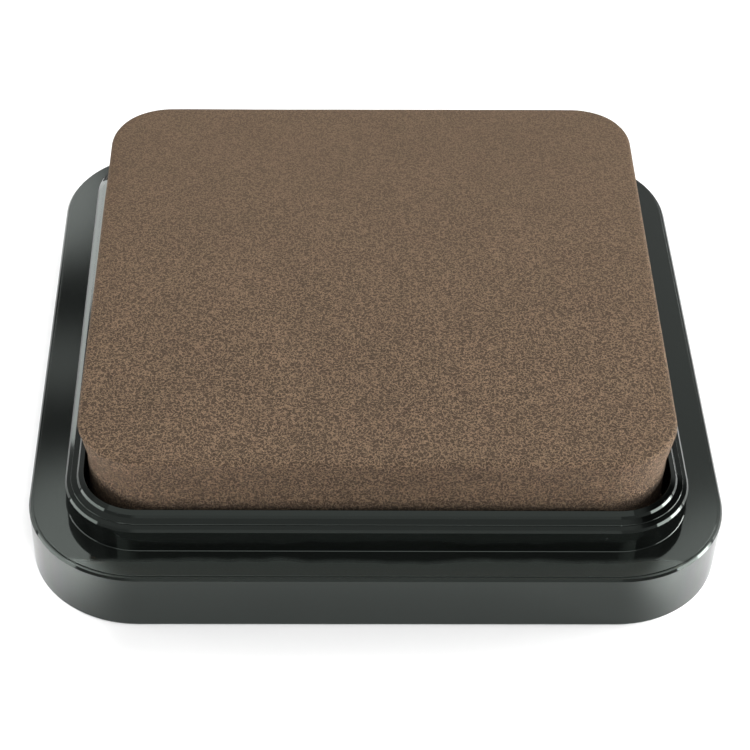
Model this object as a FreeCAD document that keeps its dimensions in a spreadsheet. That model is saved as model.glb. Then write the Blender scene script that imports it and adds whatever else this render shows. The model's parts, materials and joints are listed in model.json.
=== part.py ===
import FreeCAD, Part
import Sketcher
import math
import os

# Ink pad for stamping, lid off: a moulded base, a drop-in pad tray and a thick foam pad.
# Millimetres. +Z is up, -Y is the front, and the origin is under the centre of the base.

doc = FreeCAD.newDocument("ink_pad")

# ---------------------------------------------------------------- driving dimensions

DIMENSIONS = [
    ("base_width", 76.2, "square base, across the flange"),
    ("corner_centre", 25.8, "the corner arcs of base, collar and tray share this centre, in x and y"),
    ("draft_angle", 0.8, "the skirt leans in towards its foot, degrees"),
    ("flange_height", 7.35, "top face of the flange"),
    ("rim_step", 0.15, "drop from the flange to the fine band along its edge"),
    ("rim_band", 0.45, "width of that band"),
    ("bevel_in", 0.2, "bevel along the outer edges of skirt, collar and tray rim: its width"),
    ("bevel_down", 0.26, "and its height"),
    ("skirt_foot", 0.25, "rounded bottom edge of the skirt"),
    ("shell_wall", 1.5, "skirt and flange thickness"),
    ("collar_width", 68.0, "outside of the collar"),
    ("collar_rise", 3.2, "inner edge of the collar above the flange"),
    ("collar_wall", 0.95, "collar thickness"),
    ("collar_fall", 0.2, "the collar's top slopes down to its bevel"),
    ("collar_land", 0.3, "level strip inside that slope, under the tray's lip"),
    ("collar_root", 0.1, "fillet where the collar meets the flange"),
    ("floor_under", 1.4, "underside of the base's floor"),
    ("floor_wall", 1.2, "thickness of the base's floor"),
    ("underside_relief", 0.5, "everything inside the skirt stays this far off the table"),
    ("rib_width", 1.0, "ribs under the flange, from the skirt to the collar wall"),
    ("rib_drop", 3.6, "rib height"),
    ("rib_spacing", 19.0, "between the ribs of one side"),
    ("rib_root", 0.5, "ribs are sunk this far into the walls they join"),
    ("label_width", 52.0, "square label under the base"),
    ("label_corner", 4.0, "label corners"),
    ("label_recess", 0.25, "depth of the recess for the label"),
    ("label_margin", 0.5, "between the label and the edge of its recess"),
    ("label_paper", 0.12, "label thickness"),
    ("tray_gap", 0.35, "between collar and tray, each side"),
    ("tray_wall", 0.8, "tray wall thickness"),
    ("tray_floor", 1.0, "tray floor thickness"),
    ("tray_rise", 0.93, "inner edge of the tray rim above the collar"),
    ("rim_fall", 0.3, "the tray rim slopes down to its bevel"),
    ("rim_land", 0.08, "level strip left at the inner edge of that slope"),
    ("lip_reach", 0.65, "the lip reaches out from the tray wall over the collar"),
    ("lip_gap", 0.05, "between the collar and the lip over it"),
    ("lip_edge", 0.07, "thickness of the lip at its outer edge"),
    ("lip_fall", 0.26, "the lip slopes down to that edge"),
    ("fine_edge", 0.05, "rounding of the sharpest moulded edges"),
    ("rim_inside", 0.06, "rounded inner edge of the tray rim"),
    ("guide_width", 1.6, "upright guide ribs on the outside of the tray"),
    ("guide_gap", 0.05, "between a guide rib and the collar wall"),
    ("guide_spacing", 34.0, "between the two guide ribs of one side"),
    ("guide_foot", 1.0, "the guide ribs start this far above the base's floor"),
    ("guide_drop", 2.0, "and stop this far below the collar's top"),
    ("tape_thickness", 0.15, "film under the felt"),
    ("felt_gap", 0.2, "between felt and tray wall"),
    ("felt_thickness", 3.0, "ink felt"),
    ("bond_thickness", 0.1, "porous web between felt and foam"),
    ("foam_gap", 0.25, "between foam and tray wall"),
    ("foam_corner", 6.5, "foam corners, where it stands in the tray"),
    ("foam_swell", 0.8, "the free foam swells past the part in the tray, each side"),
    ("swell_start", 13.1, "height where the swelling starts"),
    ("foam_top", 18.75, "top face of the foam"),
    ("foam_edge", 0.6, "soft edge round the top of the foam"),
]

sheet = doc.addObject("Spreadsheet::Sheet", "Dimensions")
for row, (alias, value, note) in enumerate(DIMENSIONS, start=1):
    sheet.set(f"A{row}", alias)
    sheet.set(f"B{row}", str(value))
    sheet.set(f"C{row}", note)
    sheet.setAlias(f"B{row}", alias)
doc.recompute()

ALIASES = {alias for alias, value, note in DIMENSIONS}


def from_sheet(text):
    """The same sum as an expression, with the sheet's name before each of its aliases."""
    return " ".join(f"Dimensions.{word}" if word in ALIASES else word for word in text.split())


def value_of(sum_text):
    """The number that a sum of the sheet's cells gives."""
    return float(sheet.evalExpression(from_sheet(sum_text)))


# ---------------------------------------------------------------- sums used in several pieces

COLLAR_TOP = "flange_height + collar_rise"
COLLAR_EDGE = f"{COLLAR_TOP} - collar_fall"
BAND_TOP = "flange_height - rim_step"
FLANGE_UNDER = "flange_height - shell_wall"
FLOOR_TOP = "floor_under + floor_wall"
TRAY_TOP = f"{COLLAR_TOP} + tray_rise"
RIM_EDGE = f"{TRAY_TOP} - rim_fall"
LIP_UNDER = f"{COLLAR_TOP} + lip_gap"
LIP_EDGE = f"{LIP_UNDER} + lip_edge"
TAPE_UNDER = f"{FLOOR_TOP} + tray_floor"
FELT_UNDER = f"{TAPE_UNDER} + tape_thickness"
BOND_UNDER = f"{FELT_UNDER} + felt_thickness"
FOAM_UNDER = f"{BOND_UNDER} + bond_thickness"

BAND_WIDTH = "base_width - 2 * rim_band"
SKIRT_INSIDE = "base_width - 2 * shell_wall"
POCKET_WIDTH = "collar_width - 2 * collar_wall"
TRAY_WIDTH = f"{POCKET_WIDTH} - 2 * tray_gap"
TRAY_INSIDE = f"{TRAY_WIDTH} - 2 * tray_wall"
LIP_WIDTH = f"{TRAY_WIDTH} + 2 * lip_reach"
FELT_WIDTH = f"{TRAY_INSIDE} - 2 * felt_gap"
FOAM_WIDTH = f"{TRAY_INSIDE} - 2 * foam_gap"


def shared_corner(width):
    """Corner radius of a square whose corner arcs have the shared centre."""
    return f"( {width} ) / 2 - corner_centre"


# ---------------------------------------------------------------- sketches


def new_body(label):
    body = doc.addObject("PartDesign::Body", label)
    body.Label = label
    body.Placement = FreeCAD.Placement()
    return body


def origin_feature(body, role):
    return next(item for item in body.Origin.OriginFeatures if item.Role == role)


def level_sketch(body, name, height):
    """An empty level sketch at the given height."""
    sketch = body.newObject("Sketcher::SketchObject", name)
    sketch.AttachmentSupport = (origin_feature(body, "XY_Plane"), [""])
    sketch.MapMode = "FlatFace"
    sketch.setExpression("AttachmentOffset.Base.z", from_sheet(height))
    return sketch


def bind(sketch, constraint, sum_text):
    sketch.setExpression(f"Constraints[{constraint}]", from_sheet(sum_text))


def add_rounded_square(sketch, width, corner, half=30.0, radius=5.0):
    """A centred square with round corners. half and radius only start the sketch off."""
    straight = half - radius
    ends = [(-straight, -half), (half, -straight), (straight, half), (-half, straight)]
    first = sketch.GeometryCount
    for quarter in range(4):
        start = FreeCAD.Vector(*ends[quarter], 0)
        turned = FreeCAD.Rotation(FreeCAD.Vector(0, 0, 1), 90 * quarter)
        along = turned.multVec(FreeCAD.Vector(2 * straight, 0, 0))
        sketch.addGeometry(Part.LineSegment(start, start + along), False)
    for quarter in range(4):
        turned = FreeCAD.Rotation(FreeCAD.Vector(0, 0, 1), 90 * quarter)
        centre = turned.multVec(FreeCAD.Vector(straight, -straight, 0))
        circle = Part.Circle(centre, FreeCAD.Vector(0, 0, 1), radius)
        from_angle = math.radians(90 * quarter - 90)
        sketch.addGeometry(Part.ArcOfCircle(circle, from_angle, from_angle + math.pi / 2), False)
    sides = list(range(first, first + 4))
    arcs = list(range(first + 4, first + 8))
    for quarter in range(4):
        following = sides[(quarter + 1) % 4]
        sketch.addConstraint(Sketcher.Constraint("Tangent", sides[quarter], 2, arcs[quarter], 1))
        sketch.addConstraint(Sketcher.Constraint("Tangent", arcs[quarter], 2, following, 1))
    sketch.addConstraint(Sketcher.Constraint("Horizontal", sides[0]))
    sketch.addConstraint(Sketcher.Constraint("Horizontal", sides[2]))
    sketch.addConstraint(Sketcher.Constraint("Vertical", sides[1]))
    sketch.addConstraint(Sketcher.Constraint("Vertical", sides[3]))
    for arc in arcs[1:]:
        sketch.addConstraint(Sketcher.Constraint("Equal", arcs[0], arc))
    sketch.addConstraint(Sketcher.Constraint("Symmetric", arcs[0], 3, arcs[2], 3, -1, 1))
    across = sketch.addConstraint(Sketcher.Constraint("DistanceX", sides[3], 1, sides[1], 1, 2 * half))
    along = sketch.addConstraint(Sketcher.Constraint("DistanceY", sides[0], 1, sides[2], 1, 2 * half))
    rounding = sketch.addConstraint(Sketcher.Constraint("Radius", arcs[0], radius))
    bind(sketch, across, width)
    bind(sketch, along, width)
    bind(sketch, rounding, corner)


# ---------------------------------------------------------------- features


def pad_up(body, name, sketch, height, taper="0"):
    """Adds material from the sketch upwards. A positive taper widens it as it rises."""
    feature = body.newObject("PartDesign::Pad", name)
    feature.Profile = sketch
    feature.setExpression("Length", from_sheet(height))
    feature.setExpression("TaperAngle", from_sheet(taper))


def hipped_top(body, name, width, bottom, fall, inwards):
    """A low top that rises by fall while its sides lean in by inwards, like a hipped roof."""
    sketch = level_sketch(body, f"{name}Outline", bottom)
    add_rounded_square(sketch, width, shared_corner(width))
    pad_up(body, name, sketch, fall, taper=f"-1 * atan2( {inwards} ; {fall} )")


def pocket(body, name, sketch, depth, upwards):
    """Removes material from the sketch, upwards from below or downwards from above."""
    feature = body.newObject("PartDesign::Pocket", name)
    feature.Profile = sketch
    feature.Reversed = upwards
    feature.setExpression("Length", from_sheet(depth))


def box_row(body, name, near, far, spacing, count, breadth, bottom, top):
    """Boxes side by side on the +X side, from x = near to x = far, repeated on all four sides."""
    boxes = []
    for index in range(count):
        box = body.newObject("PartDesign::AdditiveBox", f"{name}{index + 1}")
        box.AttachmentSupport = (origin_feature(body, "XY_Plane"), [""])
        box.MapMode = "FlatFace"
        step = index - (count - 1) / 2
        box.setExpression("AttachmentOffset.Base.x", from_sheet(near))
        box.setExpression("AttachmentOffset.Base.y", from_sheet(f"{step} * {spacing} - {breadth} / 2"))
        box.setExpression("AttachmentOffset.Base.z", from_sheet(bottom))
        box.setExpression("Length", from_sheet(f"{far} - ( {near} )"))
        box.setExpression("Width", from_sheet(breadth))
        box.setExpression("Height", from_sheet(f"{top} - ( {bottom} )"))
        boxes.append(box)
    around = body.newObject("PartDesign::PolarPattern", f"{name}Around")
    around.Originals = boxes
    around.Axis = (origin_feature(body, "Z_Axis"), [""])
    around.Angle = 360
    around.Occurrences = 4
    body.Tip = around


def ring_edges(feature, height, width, centre="corner_centre"):
    """Names of the edges that lie level at a height and follow a square of a given width."""
    level = value_of(height)
    radius = value_of(width) / 2 - value_of(centre)
    names = []
    for number, edge in enumerate(feature.Shape.Edges, start=1):
        middle = edge.valueAt((edge.FirstParameter + edge.LastParameter) / 2)
        ends = edge.BoundBox
        beyond_x = max(abs(middle.x) - value_of(centre), 0)
        beyond_y = max(abs(middle.y) - value_of(centre), 0)
        is_level = max(abs(ends.ZMin - level), abs(ends.ZMax - level)) < 0.01
        if is_level and abs(math.hypot(beyond_x, beyond_y) - radius) < 0.02:
            names.append(f"Edge{number}")
    return names


def round_edges(body, name, height, width, radius, centre="corner_centre"):
    """Rounds every edge that lies level at a height on a square of a given width."""
    doc.recompute()
    base = body.Tip
    feature = body.newObject("PartDesign::Fillet", name)
    feature.Base = (base, ring_edges(base, height, width, centre))
    feature.setExpression("Radius", from_sheet(radius))


# ---------------------------------------------------------------- base


def base_shell():
    """Skirt, flange, collar and sunk floor: one moulding, open underneath."""
    body = new_body("base_shell")

    skirt = level_sketch(body, "SkirtOutline", "0")
    foot_width = f"base_width - 2 * ( {BAND_TOP} - bevel_down ) * tan( draft_angle )"
    add_rounded_square(skirt, foot_width, shared_corner(foot_width))
    pad_up(body, "Skirt", skirt, f"{BAND_TOP} - bevel_down", taper="draft_angle")
    hipped_top(body, "SkirtBevel", "base_width", f"{BAND_TOP} - bevel_down", "bevel_down", "bevel_in")

    flange = level_sketch(body, "FlangeOutline", BAND_TOP)
    add_rounded_square(flange, BAND_WIDTH, shared_corner(BAND_WIDTH))
    pad_up(body, "Flange", flange, "rim_step")

    collar = level_sketch(body, "CollarOutline", "flange_height")
    add_rounded_square(collar, "collar_width", shared_corner("collar_width"))
    pad_up(body, "Collar", collar, "collar_rise - collar_fall - bevel_down")
    hipped_top(body, "CollarBevel", "collar_width", f"{COLLAR_EDGE} - bevel_down", "bevel_down", "bevel_in")
    hipped_top(body, "CollarSlope", "collar_width - 2 * bevel_in", COLLAR_EDGE, "collar_fall",
               "collar_wall - bevel_in - collar_land")

    round_edges(body, "BandEdge", "flange_height", BAND_WIDTH, "fine_edge")
    round_edges(body, "CollarRoot", "flange_height", "collar_width", "collar_root")

    well = level_sketch(body, "WellOutline", COLLAR_TOP)
    add_rounded_square(well, POCKET_WIDTH, shared_corner(POCKET_WIDTH))
    pocket(body, "Well", well, f"{COLLAR_TOP} - ( {FLOOR_TOP} )", upwards=False)

    relief = level_sketch(body, "ReliefOutline", "0")
    add_rounded_square(relief, SKIRT_INSIDE, shared_corner(SKIRT_INSIDE))
    pocket(body, "Relief", relief, "underside_relief", upwards=True)

    channel = level_sketch(body, "ChannelOutline", "0")
    add_rounded_square(channel, SKIRT_INSIDE, shared_corner(SKIRT_INSIDE))
    add_rounded_square(channel, "collar_width", shared_corner("collar_width"))
    pocket(body, "Channel", channel, FLANGE_UNDER, upwards=True)

    hollow = level_sketch(body, "HollowOutline", "0")
    add_rounded_square(hollow, POCKET_WIDTH, shared_corner(POCKET_WIDTH))
    pocket(body, "Hollow", hollow, "floor_under", upwards=True)

    seat = level_sketch(body, "LabelSeat", "floor_under")
    add_rounded_square(seat, "label_width + 2 * label_margin", "label_corner + label_margin")
    pocket(body, "LabelRecess", seat, "label_recess", upwards=True)

    box_row(
        body, "Rib",
        near="collar_width / 2 - rib_root",
        far=f"( {SKIRT_INSIDE} ) / 2 + rib_root",
        spacing="rib_spacing", count=3, breadth="rib_width",
        bottom=f"{FLANGE_UNDER} - rib_drop",
        top=f"{FLANGE_UNDER} + rib_root",
    )
    round_edges(body, "SkirtFoot", "0", foot_width, "skirt_foot")
    return body


def slab(label, width, corner, bottom, thickness):
    """A flat square piece with round corners."""
    body = new_body(label)
    outline = level_sketch(body, "Outline", bottom)
    add_rounded_square(outline, width, corner)
    pad_up(body, "Thickness", outline, thickness)
    return body


# ---------------------------------------------------------------- tray


def pad_tray():
    """The cup that holds the pad. Its guide ribs centre it in the collar."""
    body = new_body("pad_tray")

    cup = level_sketch(body, "CupOutline", FLOOR_TOP)
    add_rounded_square(cup, TRAY_WIDTH, shared_corner(TRAY_WIDTH))
    pad_up(body, "Cup", cup, f"{RIM_EDGE} - bevel_down - ( {FLOOR_TOP} )")
    hipped_top(body, "RimBevel", TRAY_WIDTH, f"{RIM_EDGE} - bevel_down", "bevel_down", "bevel_in")
    hipped_top(body, "RimSlope", f"{TRAY_WIDTH} - 2 * bevel_in", RIM_EDGE, "rim_fall",
               "tray_wall - bevel_in - rim_land")

    lip = level_sketch(body, "LipOutline", LIP_UNDER)
    add_rounded_square(lip, LIP_WIDTH, shared_corner(LIP_WIDTH))
    pad_up(body, "Lip", lip, "lip_edge")
    hipped_top(body, "LipSlope", LIP_WIDTH, LIP_EDGE, "lip_fall", "lip_reach")

    inside = level_sketch(body, "InsideOutline", TRAY_TOP)
    add_rounded_square(inside, TRAY_INSIDE, shared_corner(TRAY_INSIDE))
    pocket(body, "Inside", inside, f"{TRAY_TOP} - ( {TAPE_UNDER} )", upwards=False)

    round_edges(body, "RimInside", TRAY_TOP, TRAY_INSIDE, "rim_inside")
    round_edges(body, "LipRounding", LIP_EDGE, LIP_WIDTH, "fine_edge")
    round_edges(body, "CupFoot", FLOOR_TOP, TRAY_WIDTH, "skirt_foot")

    box_row(
        body, "Guide",
        near=f"( {TRAY_WIDTH} ) / 2 - rib_root",
        far=f"( {POCKET_WIDTH} ) / 2 - guide_gap",
        spacing="guide_spacing", count=2, breadth="guide_width",
        bottom=f"{FLOOR_TOP} + guide_foot",
        top=f"{COLLAR_TOP} - guide_drop",
    )
    return body


# ---------------------------------------------------------------- foam


def foam_pad():
    """Foam block, pinched where it stands in the tray and swelling slightly above it."""
    body = new_body("foam_pad")

    pinched = level_sketch(body, "PinchedOutline", FOAM_UNDER)
    add_rounded_square(pinched, FOAM_WIDTH, "foam_corner")
    pad_up(body, "Pinched", pinched, f"swell_start - ( {FOAM_UNDER} )")

    free = level_sketch(body, "FreeOutline", "swell_start")
    add_rounded_square(free, FOAM_WIDTH, "foam_corner")
    swell_angle = "atan2( foam_swell ; foam_top - swell_start )"
    pad_up(body, "Free", free, "foam_top - swell_start", taper=swell_angle)

    top_width = f"{FOAM_WIDTH} + 2 * foam_swell"
    centre = f"( {FOAM_WIDTH} ) / 2 - foam_corner"
    round_edges(body, "SoftEdge", "foam_top", top_width, "foam_edge", centre)
    return body


# ---------------------------------------------------------------- the assembly

pieces = [
    base_shell(),
    slab("bottom_label", "label_width", "label_corner",
         "floor_under + label_recess - label_paper", "label_paper"),
    pad_tray(),
    slab("felt_tape", FELT_WIDTH, shared_corner(FELT_WIDTH), TAPE_UNDER, "tape_thickness"),
    slab("reservoir_felt", FELT_WIDTH, shared_corner(FELT_WIDTH), FELT_UNDER, "felt_thickness"),
    slab("pad_bond", FOAM_WIDTH, "foam_corner", BOND_UNDER, "bond_thickness"),
    foam_pad(),
]
doc.recompute()

for item in doc.Objects:
    if "Invalid" in item.State or "Error" in item.State:
        raise RuntimeError(f"{item.Label} did not recompute: {item.State}")
for piece in pieces:
    if piece.Shape.isNull() or not piece.Shape.isValid():
        raise RuntimeError(f"{piece.Label} has no valid shape")
    if len(piece.Shape.Solids) != 1:
        raise RuntimeError(f"{piece.Label} has {len(piece.Shape.Solids)} solids")

os.makedirs("parts", exist_ok=True)
for piece in pieces:
    piece.Shape.exportStep(f"parts/{piece.Label}.step")
    size = piece.Shape.optimalBoundingBox(False, False)
    print(f"{piece.Label}: {size.XLength:.2f} x {size.YLength:.2f} x {size.ZLength:.2f} mm,"
          f" z {size.ZMin:.2f} to {size.ZMax:.2f}, volume {piece.Shape.Volume:.0f} mm3")
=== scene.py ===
import json
import math

import bmesh
import bpy
from mathutils import Matrix, Vector, noise


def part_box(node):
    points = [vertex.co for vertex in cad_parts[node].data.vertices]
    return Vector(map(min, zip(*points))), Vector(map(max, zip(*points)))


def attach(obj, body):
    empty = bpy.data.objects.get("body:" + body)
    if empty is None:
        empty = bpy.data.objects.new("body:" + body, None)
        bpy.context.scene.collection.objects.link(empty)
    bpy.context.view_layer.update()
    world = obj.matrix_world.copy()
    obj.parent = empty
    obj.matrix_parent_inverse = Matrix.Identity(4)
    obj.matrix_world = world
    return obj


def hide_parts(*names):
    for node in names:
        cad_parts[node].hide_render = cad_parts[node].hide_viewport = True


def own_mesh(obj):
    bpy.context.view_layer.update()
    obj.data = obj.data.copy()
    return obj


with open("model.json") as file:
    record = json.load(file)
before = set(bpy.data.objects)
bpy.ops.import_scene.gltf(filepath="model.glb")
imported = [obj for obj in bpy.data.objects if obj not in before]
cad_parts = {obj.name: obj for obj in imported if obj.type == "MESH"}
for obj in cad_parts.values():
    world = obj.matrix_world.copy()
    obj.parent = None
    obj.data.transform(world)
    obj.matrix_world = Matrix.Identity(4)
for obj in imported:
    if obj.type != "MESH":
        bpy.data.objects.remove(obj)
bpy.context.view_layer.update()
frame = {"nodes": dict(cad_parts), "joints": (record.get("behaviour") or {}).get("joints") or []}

# The looks of the ink pad. Everything is in metres, in the frame of the CAD model:
# +Z up, -Y the front, the origin on the table under the centre of the base.

MM = 0.001
scene = bpy.context.scene
nodes = frame["nodes"]


# ---------------------------------------------------------------- node helpers


class Nodes:
    """Short ways to add nodes to a tree."""

    def __init__(self, tree, place):
        self.tree = tree
        self.place = self.add("ShaderNodeTexCoord").outputs[place]

    def add(self, kind, settings=None, **sockets):
        """A new node. A socket's value is a number, a colour or another node's output."""
        node = self.tree.nodes.new(kind)
        for key, value in (settings or {}).items():
            setattr(node, key, value)
        for socket, value in sockets.items():
            self.feed(node.inputs[socket.replace("_", " ")], value)
        return node

    def feed(self, socket, value):
        """Gives a socket its value: a link from another node's output, or a plain value."""
        if isinstance(value, bpy.types.NodeSocket):
            self.tree.links.new(value, socket)
        else:
            socket.default_value = value

    def noise(self, size, detail=2.0, roughness=0.5, stretch=None):
        """Noise from 0 to 1 with features of about the given size in metres."""
        place = self.place
        if stretch:
            place = self.add("ShaderNodeMapping", Vector=place, Scale=stretch).outputs[0]
        made = self.add(
            "ShaderNodeTexNoise", Vector=place, Scale=1 / size, Detail=detail, Roughness=roughness
        )
        return made.outputs["Fac"]

    def voronoi(self, size, feature="F1"):
        """Cells of about the given size in metres."""
        return self.add("ShaderNodeTexVoronoi", {"feature": feature}, Vector=self.place, Scale=1 / size)

    def between(self, value, low, high, to_low=0.0, to_high=1.0):
        """The value's stretch from low to high, mapped smoothly to to_low and to_high."""
        made = self.add(
            "ShaderNodeMapRange", {"interpolation_type": "SMOOTHSTEP"},
            Value=value, From_Min=low, From_Max=high, To_Min=to_low, To_Max=to_high,
        )
        return made.outputs["Result"]

    def maths(self, operation, first, second=0.0):
        """One step of arithmetic on two numbers or outputs."""
        made = self.add("ShaderNodeMath", {"operation": operation})
        self.feed(made.inputs[0], first)
        self.feed(made.inputs[1], second)
        return made.outputs[0]

    def blend(self, share, first, second):
        """A number between two numbers."""
        made = self.add("ShaderNodeMix", {"data_type": "FLOAT"})
        self.feed(made.inputs[0], share)
        self.feed(made.inputs[2], first)
        self.feed(made.inputs[3], second)
        return made.outputs[0]

    def mix(self, share, first, second):
        """A colour between two colours."""
        made = self.add("ShaderNodeMix", {"data_type": "RGBA"})
        self.feed(made.inputs["Factor"], share)
        self.feed(made.inputs[6], first)
        self.feed(made.inputs[7], second)
        return made.outputs[2]

    def bump(self, height, distance, strength):
        """A bump whose height of 1 stands for the distance in metres."""
        made = self.add("ShaderNodeBump", Height=height, Distance=distance, Strength=strength)
        return made.outputs["Normal"]


class Shader(Nodes):
    """A node material with a Principled shader."""

    def __init__(self, name, **sockets):
        self.material = bpy.data.materials.new(name)
        self.material.use_nodes = True
        tree = self.material.node_tree
        tree.nodes.clear()
        output = tree.nodes.new("ShaderNodeOutputMaterial")
        self.surface = tree.nodes.new("ShaderNodeBsdfPrincipled")
        tree.links.new(self.surface.outputs[0], output.inputs["Surface"])
        for socket, value in sockets.items():
            self.surface.inputs[socket.replace("_", " ")].default_value = value
        super().__init__(tree, "Object")

    def drive(self, socket, value):
        """Links an output to one of the Principled shader's sockets."""
        self.tree.links.new(value, self.surface.inputs[socket])


def grey(level, tint=(1.0, 1.0, 1.0)):
    """A colour of one level in red, green and blue, apart from the tint."""
    return tuple(level * part for part in tint) + (1.0,)


# ---------------------------------------------------------------- plastics


# the slightly green cast of the black plastic
COOL = (0.87, 1.0, 0.92)


def add_dust(shader, colour, cell, spot, share):
    """Colour with sparse pale specks of dust: one at most in each cell, in a share of the cells.
    cell is in metres, and spot is the speck's radius as a part of the cell."""
    cells = shader.voronoi(cell)
    near = shader.between(cells.outputs["Distance"], spot * 0.6, spot, 1.0, 0.0)
    chosen = shader.add("ShaderNodeSeparateColor", Color=cells.outputs["Color"]).outputs["Red"]
    speck = shader.maths("MULTIPLY", near, shader.maths("LESS_THAN", chosen, share))
    return shader.mix(speck, colour, grey(0.45))


def case_plastic():
    """Black moulding, polished on its walls. Its level faces have a fine satin grain, rubbed matt
    along the front edge, where a paler grey is painted light on the front flange."""
    shader = Shader("case_plastic", IOR=1.5, Specular_Tint=grey(1.0, COOL))
    facing = shader.add("ShaderNodeTexCoord").outputs["Normal"]
    upward = shader.add("ShaderNodeSeparateXYZ", Vector=facing).outputs["Z"]
    level = shader.between(upward, 0.97, 0.995)
    depth = shader.add("ShaderNodeSeparateXYZ", Vector=shader.place).outputs["Y"]
    smear = shader.noise(9 * MM, detail=3.0, stretch=(1.0, 1.0, 0.4))
    wavy = shader.maths("ADD", depth, shader.maths("MULTIPLY", smear, 2 * MM))
    # the front flange's outer band: rubbed matt, and painted a paler grey as painted light, leaving the
    # band by the collar darker
    rubbed_and_lit_front = shader.maths("MULTIPLY", level, shader.between(wavy, -34.9 * MM, -33.9 * MM, 1.0, 0.0))
    grain = shader.noise(0.16 * MM, detail=3.0, roughness=0.7)

    polished = shader.between(smear, 0.35, 0.75, 0.03, 0.06)
    satin = shader.between(grain, 0.3, 0.8, 0.05, 0.09)
    gloss = shader.blend(level, polished, satin)
    worn_roughness = 0.32
    shader.drive("Roughness", shader.blend(rubbed_and_lit_front, gloss, worn_roughness))

    speckle = shader.between(grain, 0.4, 0.75)
    black = shader.mix(smear, grey(0.002, COOL), grey(0.005, COOL))
    grained = shader.mix(speckle, grey(0.004, COOL), grey(0.009, COOL))
    # painted light: the paler grey of the front flange's outer band
    painted_lit_grey = shader.mix(speckle, grey(0.025, COOL), grey(0.043, COOL))
    colour = shader.mix(rubbed_and_lit_front, shader.mix(level, black, grained), painted_lit_grey)
    shader.drive("Base Color", add_dust(shader, colour, cell=7 * MM, spot=0.012, share=0.35))

    relief = shader.maths("MULTIPLY", grain, shader.maths("ADD", 0.15, level))
    shader.drive("Normal", shader.bump(relief, 0.0015 * MM, 0.6))
    return shader.material


def tray_plastic():
    """Glossy black cup with faint finger smears and a few specks of dust."""
    shader = Shader("tray_plastic", IOR=1.5, Specular_Tint=grey(1.0, COOL))
    smear = shader.noise(5 * MM, detail=4.0, roughness=0.6)
    shader.drive("Roughness", shader.between(smear, 0.3, 0.75, 0.03, 0.055))
    grain = shader.noise(0.25 * MM, detail=2.0)
    black = shader.mix(smear, grey(0.001, COOL), grey(0.003, COOL))
    shader.drive("Base Color", add_dust(shader, black, cell=6 * MM, spot=0.012, share=0.3))
    shader.drive("Normal", shader.bump(grain, 0.002 * MM, 0.5))
    return shader.material


# ---------------------------------------------------------------- soft and hidden materials


def foam_material():
    """Fine-pored brown foam: pale, wandering ridges over dark pits, with painted shade on its sides
    and a deeper painted shade just above the tray. The pores are evened out towards the back,
    which stands in for a soft focus."""
    shader = Shader("ink_foam", Specular_IOR_Level=0.15, Roughness=0.85)
    # a ridge runs where the noise is close to its middle value
    from_middle = shader.maths("SUBTRACT", shader.noise(0.35 * MM, detail=1.0), 0.5)
    ridge = shader.between(shader.maths("ABSOLUTE", from_middle), 0.01, 0.08, 1.0, 0.0)
    fine = shader.between(shader.noise(0.16 * MM, detail=2.0), 0.3, 0.7)
    fine_share = 0.3
    ridges = shader.maths("MULTIPLY", ridge, 1 - fine_share)
    open_wall = shader.maths("ADD", ridges, shader.maths("MULTIPLY", fine, fine_share))
    parts = shader.add("ShaderNodeSeparateXYZ", Vector=shader.place).outputs
    filled = shader.between(parts["Y"], -25 * MM, 30 * MM, 0.0, 0.6)
    # painted shade: the foam is darkened just above the tray's rim, where the tray shades it
    shade_above_tray = shader.between(parts["Z"], 11.3 * MM, 13.2 * MM, 0.38, 1.0)
    # painted shade: the foam's sides are made darker than its top
    side = shader.between(parts["Z"], 17.9 * MM, 18.5 * MM, 0.9, 1.0)
    mean_wall = 0.34
    wall = shader.blend(filled, open_wall, mean_wall)

    pale = shader.mix(shader.noise(3.5 * MM), (0.214, 0.140, 0.090, 1), (0.202, 0.140, 0.087, 1))
    dark = shader.mix(shader.noise(2.6 * MM), (0.035, 0.0222, 0.0144, 1), (0.034, 0.0239, 0.0152, 1))
    cloud = shader.between(shader.noise(8 * MM, detail=3.0), 0.3, 0.7, 0.97, 1.03)
    tone = shader.mix(wall, dark, pale)
    shade = shader.maths("MULTIPLY", cloud, shader.maths("MULTIPLY", shade_above_tray, side))
    clouded = shader.add("ShaderNodeVectorMath", {"operation": "SCALE"}, Vector=tone, Scale=shade)
    shader.drive("Base Color", clouded.outputs[0])
    shader.drive("Normal", shader.bump(wall, 0.1 * MM, 0.7))
    return shader.material


def felt_material():
    """Ink-soaked felt: dark, matted fibres."""
    shader = Shader("ink_felt", Specular_IOR_Level=0.3)
    fibre = shader.noise(0.5 * MM, detail=5.0, roughness=0.7, stretch=(1.0, 0.25, 1.0))
    cross = shader.noise(0.5 * MM, detail=5.0, roughness=0.7, stretch=(0.25, 1.0, 1.0))
    matted = shader.maths("MULTIPLY", shader.maths("ADD", fibre, cross), 0.5)
    shader.drive("Base Color", shader.mix(matted, (0.03, 0.017, 0.010, 1), (0.13, 0.08, 0.05, 1)))
    shader.drive("Roughness", shader.between(matted, 0.3, 0.7, 0.55, 0.9))
    shader.drive("Normal", shader.bump(matted, 0.2 * MM, 0.8))
    return shader.material


def web_material():
    """Porous adhesive web, stained by the ink."""
    shader = Shader("bond_web", Specular_IOR_Level=0.3)
    holes = shader.voronoi(0.8 * MM, "DISTANCE_TO_EDGE").outputs["Distance"]
    strand = shader.between(holes, 0.02, 0.12, 1.0, 0.0)
    shader.drive("Base Color", shader.mix(strand, (0.05, 0.03, 0.02, 1), (0.2, 0.15, 0.11, 1)))
    shader.drive("Roughness", shader.between(strand, 0.0, 1.0, 0.8, 0.5))
    shader.drive("Normal", shader.bump(strand, 0.05 * MM, 0.6))
    return shader.material


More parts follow.
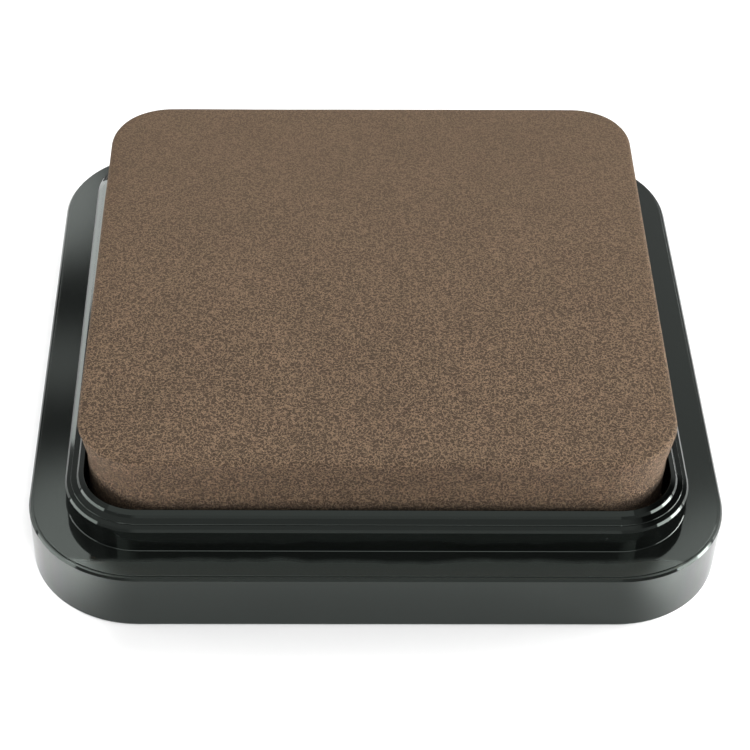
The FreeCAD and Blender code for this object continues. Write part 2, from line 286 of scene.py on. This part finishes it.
def tape_material():
    """Double-sided film, yellowish and slightly creased."""
    shader = Shader("tape_film", IOR=1.45)
    crease = shader.noise(4 * MM, detail=4.0, stretch=(1.0, 3.0, 1.0))
    shader.drive("Base Color", shader.mix(crease, (0.70, 0.66, 0.55, 1), (0.80, 0.78, 0.70, 1)))
    shader.drive("Roughness", shader.between(crease, 0.3, 0.7, 0.25, 0.45))
    shader.drive("Normal", shader.bump(crease, 0.05 * MM, 0.4))
    return shader.material


def label_material():
    """Blank coated paper with a faint fibre and a little handling dirt in patches."""
    shader = Shader("label_paper", Specular_IOR_Level=0.4)
    fibre = shader.noise(0.7 * MM, detail=6.0, roughness=0.75)
    cloud = shader.noise(12 * MM, detail=3.0)
    clean = shader.mix(fibre, (0.74, 0.73, 0.69, 1), (0.84, 0.83, 0.80, 1))
    dirt = shader.between(cloud, 0.55, 0.85, 0.0, 0.3)
    shader.drive("Base Color", shader.mix(dirt, clean, (0.55, 0.52, 0.46, 1)))
    shader.drive("Roughness", shader.between(fibre, 0.3, 0.7, 0.5, 0.7))
    shader.drive("Normal", shader.bump(fibre, 0.02 * MM, 0.5))
    return shader.material


def assign(piece, material):
    """Gives a piece one material."""
    piece.data.materials.clear()
    piece.data.materials.append(material)


# ---------------------------------------------------------------- soft pieces


def ring_of(half, radius, height, per_side, per_corner):
    """Points of a level rounded square, evenly counted on its sides and its corners."""
    points = []
    straight = half - radius
    for quarter in range(4):
        turn = Matrix.Rotation(math.radians(90 * quarter), 3, "Z")
        for step in range(per_side):
            along = -straight + 2 * straight * step / per_side
            points.append(turn @ Vector((half, along, 0)))
        for step in range(per_corner):
            angle = math.radians(90) * step / per_corner
            reach = Vector((straight + radius * math.cos(angle), straight + radius * math.sin(angle), 0))
            points.append(turn @ reach)
    return [point + Vector((0, 0, height)) for point in points]


def block_from_rings(name, rings):
    """A closed mesh from rings of points, from the middle of the underside to the middle of the top."""
    mesh = bpy.data.meshes.new(name)
    builder = bmesh.new()
    layers = [[builder.verts.new(point) for point in ring] for ring in rings]
    for lower, upper in zip(layers, layers[1:]):
        for index in range(len(lower)):
            after = (index + 1) % len(lower)
            builder.faces.new((lower[index], lower[after], upper[after], upper[index]))
    builder.faces.new(list(reversed(layers[0])))
    builder.faces.new(layers[-1])
    for face in builder.faces:
        face.smooth = True
    builder.to_mesh(mesh)
    builder.free()
    piece = bpy.data.objects.new(name, mesh)
    scene.collection.objects.link(piece)
    return piece


def foam_block(node, press_travel):
    """The foam: upright in the tray, swelling above it towards a soft-edged, slightly uneven top.
    The swelling starts high enough to stay above the tray's rim when the foam is pressed down."""
    low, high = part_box(node)
    per_side, per_corner = 96, 24
    edge, rim_clearance = 0.6 * MM, 0.15 * MM
    foot_half, foot_corner, top_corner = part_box("pad_bond")[1].x, 8.5 * MM, 7.2 * MM
    swell_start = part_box("pad_tray")[1].z + press_travel + rim_clearance
    swell = high.x - foot_half

    def side_ring(height, inset=0.0):
        share = max(0.0, (height - swell_start) / (high.z - swell_start))
        corner = foot_corner + (top_corner - foot_corner) * share
        return ring_of(foot_half + swell * share - inset, corner - inset, height, per_side, per_corner)

    side_count, edge_count, top_count = 28, 6, 72
    rings = []
    for share in (0.03, 0.25, 0.5, 0.75, 0.96):
        rings.append(ring_of(foot_half * share, foot_corner * share, low.z, per_side, per_corner))
    for step in range(side_count):
        rings.append(side_ring(low.z + (high.z - edge - low.z) * step / (side_count - 1)))
    for step in range(1, edge_count + 1):
        angle = math.radians(90) * step / edge_count
        rings.append(side_ring(high.z - edge * (1 - math.sin(angle)), edge * (1 - math.cos(angle))))
    flat_half, flat_corner = high.x - edge, top_corner - edge
    for step in range(1, top_count):
        share = 1 - step / top_count
        rings.append(ring_of(flat_half * share, flat_corner * share, high.z, per_side, per_corner))
    piece = block_from_rings("ink_foam_block", rings)
    cut_by_hand(piece, swell_start, high)
    roughen(piece, swell_start, high)
    return piece


def cut_by_hand(piece, swell_start, high):
    """Moves the free part's corners off a true square, less and less towards the tray."""
    # sign of the corner's x, sign of its y, its move in x and its move in y
    moves = [
        (1, 1, 0.4 * MM, 0.6 * MM),
        (-1, 1, 0.6 * MM, -0.4 * MM),
        (1, -1, -0.5 * MM, 0.0),
    ]
    for vertex in piece.data.vertices:
        place = vertex.co
        share = max(0.0, (place.z - swell_start) / (high.z - swell_start))
        for right, back, across, along in moves:
            weight = share * (1 + right * place.x / high.x) * (1 + back * place.y / high.y) / 4
            place.x += across * weight
            place.y += along * weight


def roughen(piece, swell_start, high):
    """Gives the free part of the foam the slow unevenness of cut foam, and rounds its top off."""
    top_skin, rim, rim_drop = 0.5 * MM, 5 * MM, 0.12 * MM
    slow_waves, quick_waves = 70, 420  # to the metre
    for vertex in piece.data.vertices:
        place = vertex.co
        if place.z < swell_start:
            continue
        slow = noise.noise(place * slow_waves)
        quick = noise.noise(place * quick_waves)
        if place.z > high.z - top_skin:
            inside = max(0.0, high.x - max(abs(place.x), abs(place.y)))
            crown = rim_drop * max(0.0, 1 - inside / rim) ** 2
            place.z += 0.04 * MM * slow + 0.012 * MM * quick - crown
        else:
            outward = Vector((place.x, place.y, 0)).normalized()
            place += outward * (0.05 * MM * slow + 0.015 * MM * quick)


def felt_block(node):
    """The felt slab under the foam, with rounded edges."""
    low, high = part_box(node)
    half, corner, edge = high.x, 5.9 * MM, 0.3 * MM
    per_side, per_corner = 24, 10
    flat_shares = (0.03, 0.5, 0.96)

    def flat_rings(shares, height):
        for share in shares:
            yield ring_of((half - edge) * share, (corner - edge) * share, height, per_side, per_corner)

    rings = list(flat_rings(flat_shares, low.z))
    for height in (low.z + edge, (low.z + high.z) / 2, high.z - edge):
        rings.append(ring_of(half, corner, height, per_side, per_corner))
    rings += flat_rings(reversed(flat_shares), high.z)
    return block_from_rings("ink_felt_slab", rings)


# ---------------------------------------------------------------- studio


def floor():
    """A plain pale floor, far larger than the pad."""
    mesh = bpy.data.meshes.new("studio_floor")
    reach = 1.2
    corners = [(-reach, -reach, 0), (reach, -reach, 0), (reach, reach, 0), (-reach, reach, 0)]
    mesh.from_pydata(corners, [], [(0, 1, 2, 3)])
    ground = bpy.data.objects.new("studio_floor", mesh)
    scene.collection.objects.link(ground)
    shader = Shader("studio_floor", Base_Color=(0.9, 0.9, 0.9, 1), Roughness=0.9, Specular_IOR_Level=0.1)
    ground.data.materials.append(shader.material)


def softbox(name, centre, target, width, height, level, spread=180):
    """A rectangular lamp that glows evenly at a given level, with its spread in degrees."""
    light = bpy.data.lights.new(name, "AREA")
    light.shape = "RECTANGLE"
    light.size = width
    light.size_y = height
    light.energy = level * math.pi * width * height
    light.spread = math.radians(spread)
    lamp = bpy.data.objects.new(name, light)
    scene.collection.objects.link(lamp)
    lamp.location = centre
    lamp.rotation_mode = "QUATERNION"
    lamp.rotation_quaternion = (Vector(centre) - Vector(target)).to_track_quat("Z", "Y")
    return lamp


def direction(azimuth, elevation):
    """A level azimuth of 0 is behind the pad and 90 is on its right, in degrees."""
    turn, rise = math.radians(azimuth), math.radians(elevation)
    return Vector((math.sin(turn) * math.cos(rise), math.cos(turn) * math.cos(rise), math.sin(rise)))


def room(level, patches):
    """An even, dim room with soft brighter and darker patches on its walls."""
    world = bpy.data.worlds.new("studio")
    world.use_nodes = True
    sky = Nodes(world.node_tree, "Generated")
    total = level
    for azimuth, elevation, radius, added in patches:
        centre = sky.add("ShaderNodeVectorMath", {"operation": "DOT_PRODUCT"})
        sky.feed(centre.inputs[0], sky.place)
        sky.feed(centre.inputs[1], direction(azimuth, elevation))
        outer, inner = math.cos(math.radians(radius * 1.25)), math.cos(math.radians(radius * 0.75))
        total = sky.maths("ADD", total, sky.between(centre.outputs["Value"], outer, inner, 0.0, added))
    background = world.node_tree.nodes["Background"]
    sky.feed(background.inputs["Strength"], sky.maths("MAXIMUM", total, 0.0))
    background.inputs["Color"].default_value = (1, 1, 1, 1)
    scene.world = world


ROOM_LEVEL = 0.4
# azimuth, elevation, radius in degrees, and the level added to the room's
ROOM_PATCHES = [
    (58, 47, 27, -0.4),
    (180, 33, 12, 0.4),
    (13, 41, 6, 0.25),
    (17, 46.5, 2.5, 1.6),
    (-8, 36.8, 1.6, 2.2),
    (-8, 39.5, 1.2, -0.4),
    (-8, 41.2, 0.9, 0.7),
    (-8, 43.0, 1.2, -0.4),
    (-8, 45.8, 1.9, 1.8),
]


def lamps():
    """Two dim panels overhead, softboxes round the pad, and a glow on the table at each front corner."""
    softbox("overhead", (-0.2, 0.17, 0.7), (-0.2, 0.17, 0), width=1.0, height=0.54, level=0.15)
    softbox("front_top", (-0.2, -0.24, 0.7), (-0.2, -0.24, 0), width=1.0, height=0.28, level=0.55)

    # name, azimuth, elevation, distance, width, height, level
    boxes = [
        ("back_key", -6, 58, 0.7, 0.36, 0.17, 12.0),
        ("right_box", 95, 15, 0.6, 0.56, 0.28, 8.0),
        ("right_strip", 84, 12, 0.6, 0.36, 0.17, 14.0),
        ("left_box", -95, 15, 0.6, 0.56, 0.28, 4.0),
        ("back_right_box", 35, 18, 0.6, 0.15, 0.12, 9.0),
        ("back_left_box", -35, 18, 0.6, 0.15, 0.12, 4.0),
        ("front_box", 180, 56, 0.6, 0.6, 0.22, 3.9),
    ]
    pad_middle = (0, 0, 0.01)
    for name, azimuth, elevation, distance, width, height, level in boxes:
        softbox(name, direction(azimuth, elevation) * distance, pad_middle, width, height, level)

    # narrow lamps that light the table beside the front corners, where the skirt mirrors it
    for name, side, level in (("right_glow", 1, 22.0), ("left_glow", -1, 11.0)):
        place = Vector((side * 0.086, -0.066, 0.12))
        below = (place.x, place.y, 0)
        lamp = softbox(name, place, below, width=0.09, height=0.06, level=level, spread=14)
        lamp.visible_camera = False


def camera():
    """The view from the front, above and a little to the left, through a long lens."""
    azimuth, elevation, roll = math.radians(-2.91), math.radians(41.75), math.radians(2.23)
    target = Vector((0.63, 2.16, 0.35)) * MM
    distance = 264.5 * MM
    back = Vector((math.sin(azimuth) * math.cos(elevation),
                   -math.cos(azimuth) * math.cos(elevation),
                   math.sin(elevation)))
    right = Vector((math.cos(azimuth), math.sin(azimuth), 0))
    up = back.cross(right)
    rolled_right = right * math.cos(roll) + up * math.sin(roll)
    rolled_up = up * math.cos(roll) - right * math.sin(roll)
    lens = bpy.data.cameras.new("camera")
    lens.lens = 104.3
    lens.sensor_width = 36
    lens.clip_start = 0.01
    lens.clip_end = 10
    viewer = bpy.data.objects.new("camera", lens)
    scene.collection.objects.link(viewer)
    viewer.matrix_world = Matrix((
        (rolled_right.x, rolled_up.x, back.x, target.x + back.x * distance),
        (rolled_right.y, rolled_up.y, back.y, target.y + back.y * distance),
        (rolled_right.z, rolled_up.z, back.z, target.z + back.z * distance),
        (0, 0, 0, 1),
    ))
    scene.camera = viewer


# ---------------------------------------------------------------- putting it together

assign(nodes["base_shell"], case_plastic())
assign(nodes["pad_tray"], tray_plastic())
assign(nodes["felt_tape"], tape_material())
assign(nodes["pad_bond"], web_material())
assign(nodes["bottom_label"], label_material())

press_travel = next(joint for joint in frame["joints"] if joint["name"] == "pad_press")["range_m"][1]
foam = foam_block("foam_pad", press_travel)
assign(foam, foam_material())
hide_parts("foam_pad")
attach(foam, "pad")

felt = felt_block("reservoir_felt")
assign(felt, felt_material())
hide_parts("reservoir_felt")
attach(felt, "tray")
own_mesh(felt)

floor()
camera()
room(ROOM_LEVEL, ROOM_PATCHES)
lamps()
scene.view_settings.view_transform = "Standard"
